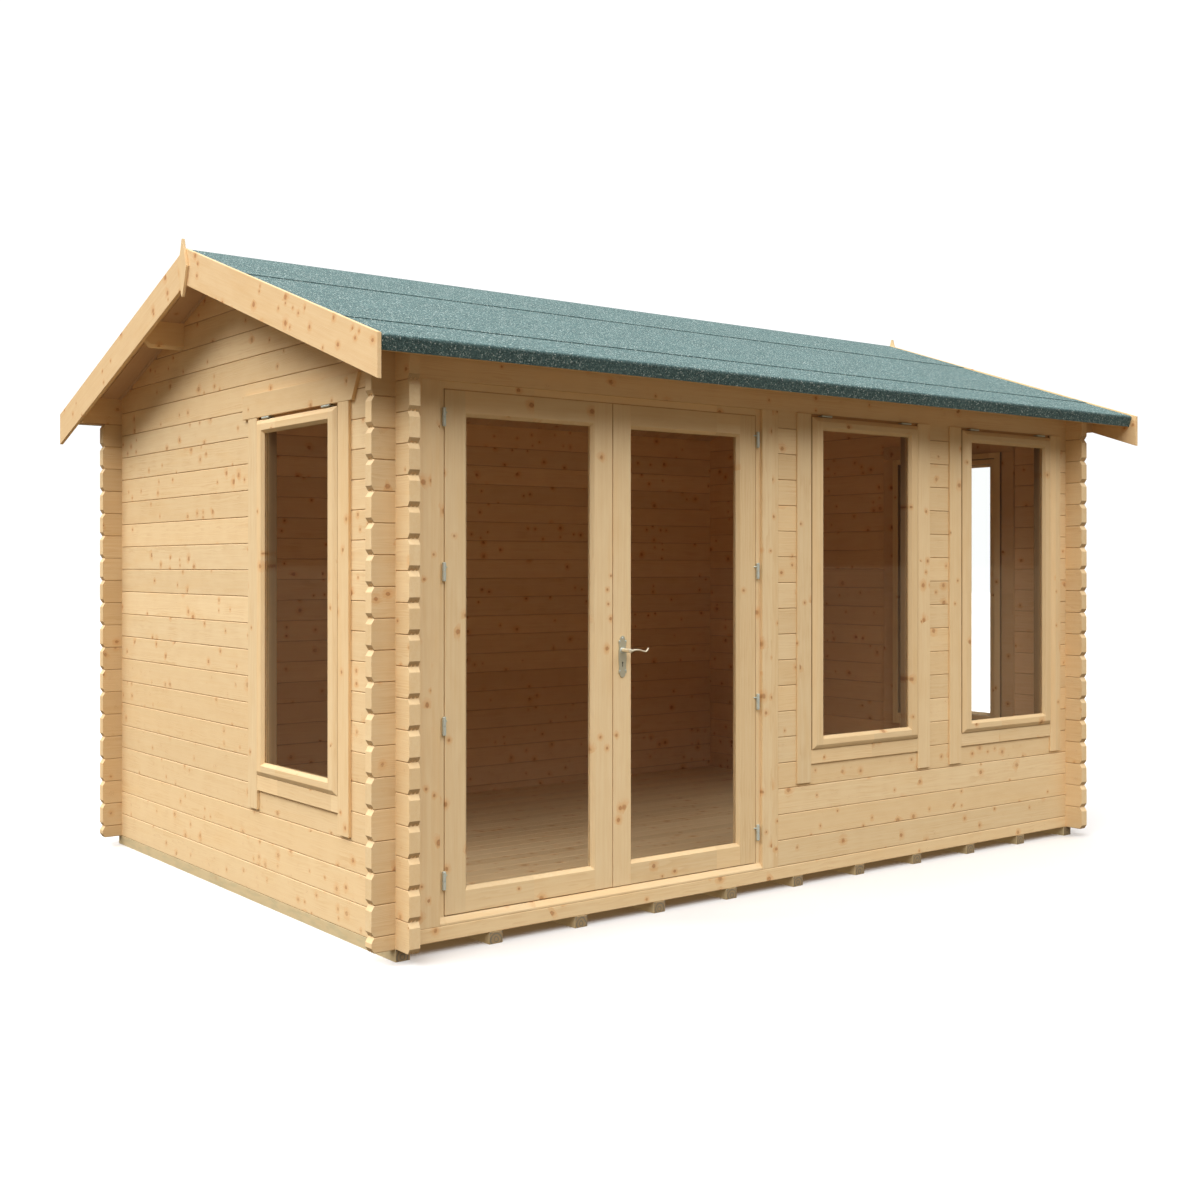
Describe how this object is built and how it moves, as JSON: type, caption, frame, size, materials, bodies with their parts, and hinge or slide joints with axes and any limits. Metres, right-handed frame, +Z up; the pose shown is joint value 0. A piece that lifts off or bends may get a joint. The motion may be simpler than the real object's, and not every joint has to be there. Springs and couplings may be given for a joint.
{
  "type": "log cabin",
  "caption": "Free-standing garden log cabin with interlocking corner logs, glazed double doors, top-hung windows and a felted apex roof.",
  "frame": {"origin": "on the ground under the centre of the plan", "axes": "+Z up; the doors face -Y; +X runs to the right along the front wall, from the doors to the front windows"},
  "size_m": [4.562, 3.38, 2.835],
  "materials": {
    "spruce": "planed untreated spruce logs with knots",
    "planed_board": "planed untreated spruce board",
    "joinery_spruce": "smooth planed spruce joinery",
    "floorboard": "tongued and grooved spruce floorboards",
    "treated_timber": "sawn pressure-treated softwood, greenish brown",
    "roof_felt": "green mineral-surfaced bitumen felt",
    "window_glass": "clear float glass",
    "hinge_steel": "zinc-plated steel",
    "handle_nickel": "satin nickel"
  },
  "bodies": {
    "cabin": {"back_top_log": "spruce", "back_wall": "spruce", "barge_boards_back": "planed_board", "barge_boards_front": "planed_board", "door_frame": "joinery_spruce", "door_hinges_frame": "hinge_steel", "door_inner_trims": "planed_board", "door_posts": "spruce", "eave_battens": "spruce", "felt_eave_strips": "roof_felt", "felt_middle_strips": "roof_felt", "felt_ridge_strip": "roof_felt", "finials": "planed_board", "floor": "floorboard", "floor_bearers": "treated_timber", "front_middle_window_frame": "joinery_spruce", "front_middle_window_sash": "joinery_spruce", "front_right_window_frame": "joinery_spruce", "front_right_window_sash": "joinery_spruce", "front_sill_log": "spruce", "front_top_log": "spruce", "front_wall_left": "spruce", "front_wall_right": "spruce", "gable_header_boards": "planed_board", "left_gable_wall": "spruce", "left_gable_window_frame": "joinery_spruce", "left_gable_window_sash": "joinery_spruce", "purlins": "spruce", "right_gable_wall": "spruce", "right_gable_window_frame": "joinery_spruce", "right_gable_window_sash": "joinery_spruce", "roof_boards_back": "spruce", "roof_boards_front": "spruce", "window_glass": "window_glass", "window_hinges": "hinge_steel", "window_inner_boards": "planed_board", "window_outer_boards": "planed_board"},
    "left_leaf": {"door_leaf_left": "joinery_spruce", "door_glass_left": "window_glass", "door_hinges_left": "hinge_steel"},
    "right_leaf": {"door_leaf_right": "joinery_spruce", "door_glass_right": "window_glass", "door_hinges_right": "hinge_steel", "handle_plates": "handle_nickel"},
    "lever": {"door_lever": "handle_nickel"}
  },
  "joints": [
    {"name": "left_door_hinge", "type": "hinge", "parent": "cabin", "child": "left_leaf", "pos_m": [-1.8415, -1.4235, 0.134], "axis": [0, 0, -1], "range_deg": [0, 110]},
    {"name": "right_door_hinge", "type": "hinge", "parent": "cabin", "child": "right_leaf", "pos_m": [-0.2415, -1.4235, 0.134], "axis": [0, 0, 1], "range_deg": [0, 110]},
    {"name": "lever_turn", "type": "hinge", "parent": "right_leaf", "child": "lever", "pos_m": [-0.9935, -1.3925, 1.089], "axis": [0, 1, 0], "range_deg": [0, 35], "stiffness_Nm_per_rad": 1, "springref_deg": -20.05}
  ]
}
